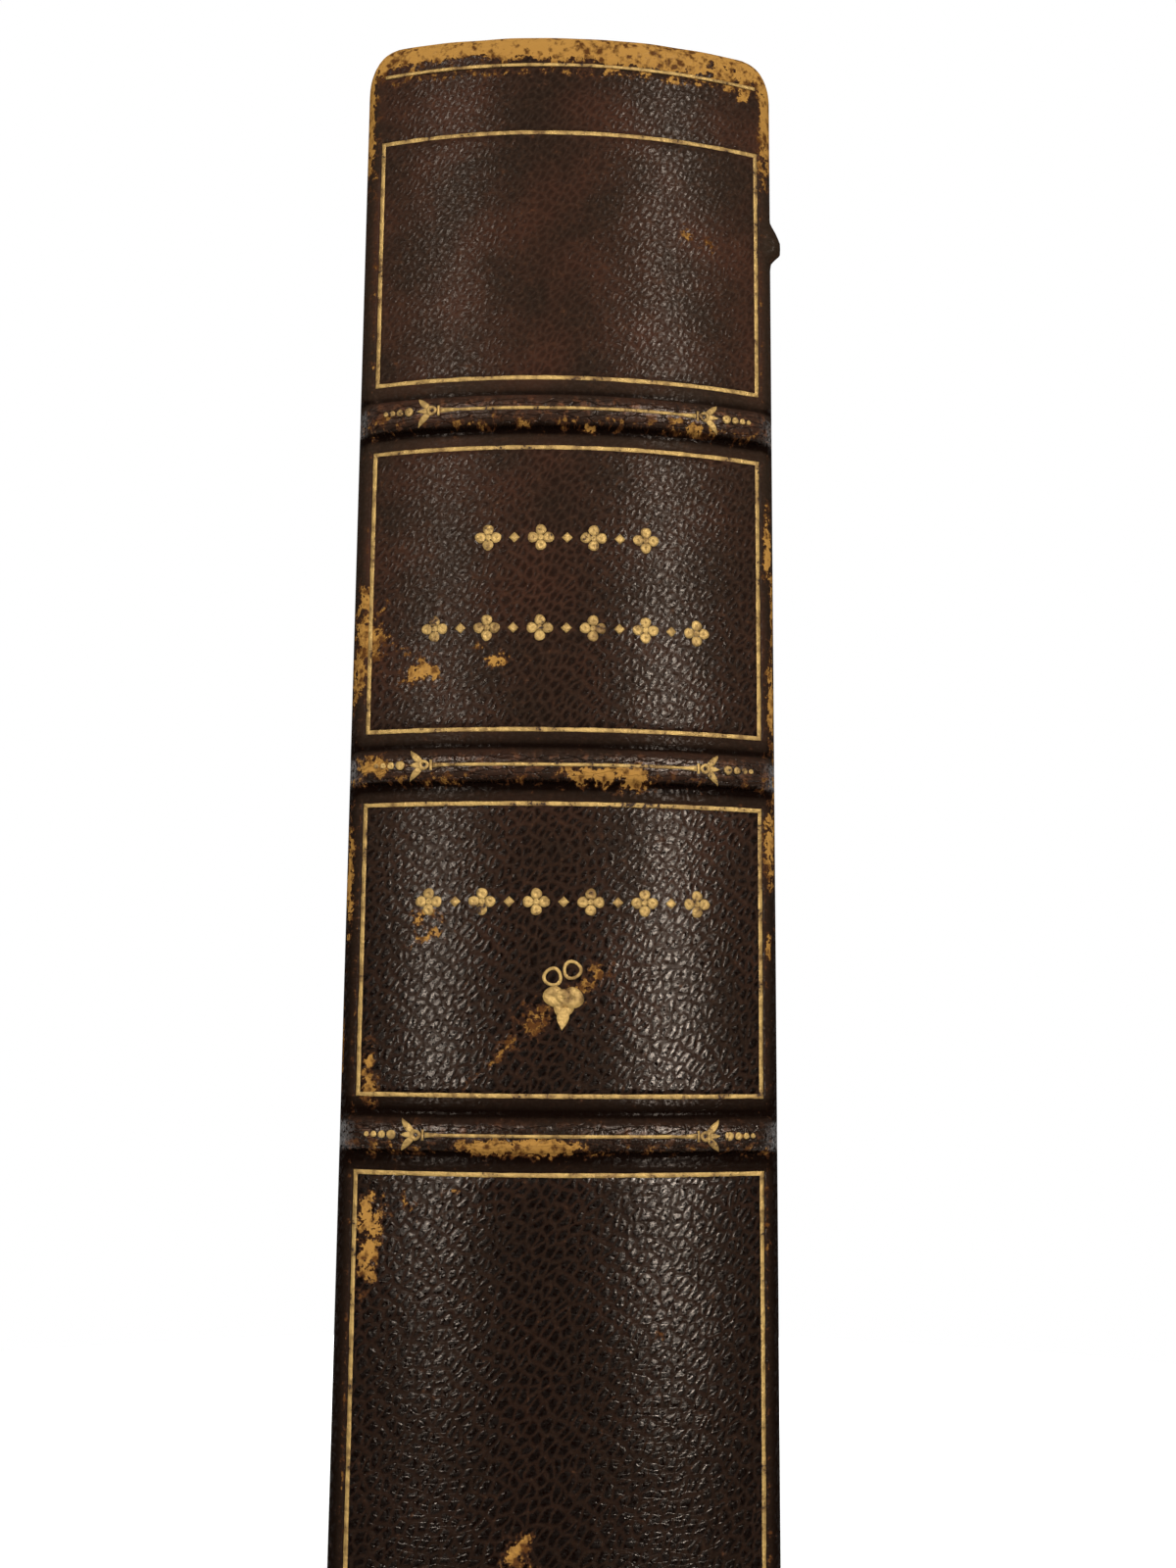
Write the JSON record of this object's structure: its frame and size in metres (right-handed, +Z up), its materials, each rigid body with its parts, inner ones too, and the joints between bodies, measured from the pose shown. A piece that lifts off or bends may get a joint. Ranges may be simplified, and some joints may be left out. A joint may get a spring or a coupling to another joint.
{
  "type": "antique leather book",
  "caption": "Upright antique leather book: rounded spine with raised bands and gilt tooling, worn brown leather over boards, covers hinged at the joints, aged leaves.",
  "frame": {"origin": "middle of the book's footprint, on the surface that its tail stands on", "axes": "+Z up from tail to head, -Y out of the spine, +Y out of the fore-edge, +X out of the front cover, -X out of the back cover"},
  "size_m": [0.042, 0.146, 0.219],
  "materials": {
    "brown_leather": "dark brown grained morocco, worn tan at the edges",
    "gilt": "old gold leaf tooling, rubbed",
    "leaves": "aged cream page edges",
    "endpaper": "aged plain endpaper",
    "lining": "glued linen and paper",
    "kraft_paper": "brown binder's paper",
    "band_core": "rough strip of leather",
    "endband_silk": "sewn silk over a core",
    "millboard": "dense grey millboard"
  },
  "bodies": {
    "book_block": {"text_block": "leaves", "front_flyleaf": "endpaper", "back_flyleaf": "endpaper", "spine_lining": "lining", "hollow_back": "kraft_paper", "raised_band_1": "band_core", "raised_band_2": "band_core", "raised_band_3": "band_core", "raised_band_4": "band_core", "headband": "endband_silk", "tailband": "endband_silk", "spine_leather": "brown_leather", "gilt_frames": "gilt", "gilt_bands": "gilt", "gilt_ornaments": "gilt"},
    "front_cover": {"front_board": "millboard", "front_leather": "brown_leather", "front_infill": "kraft_paper", "front_pastedown": "endpaper"},
    "back_cover": {"back_board": "millboard", "back_leather": "brown_leather", "back_infill": "kraft_paper", "back_pastedown": "endpaper"}
  },
  "joints": [
    {"name": "front_cover_hinge", "type": "hinge", "parent": "book_block", "child": "front_cover", "pos_m": [0.021, -0.06428, 0.1095], "axis": [0, 0, -1], "range_deg": [0, 180]},
    {"name": "back_cover_hinge", "type": "hinge", "parent": "book_block", "child": "back_cover", "pos_m": [-0.021, -0.06428, 0.1095], "axis": [0, 0, 1], "range_deg": [0, 180]}
  ]
}
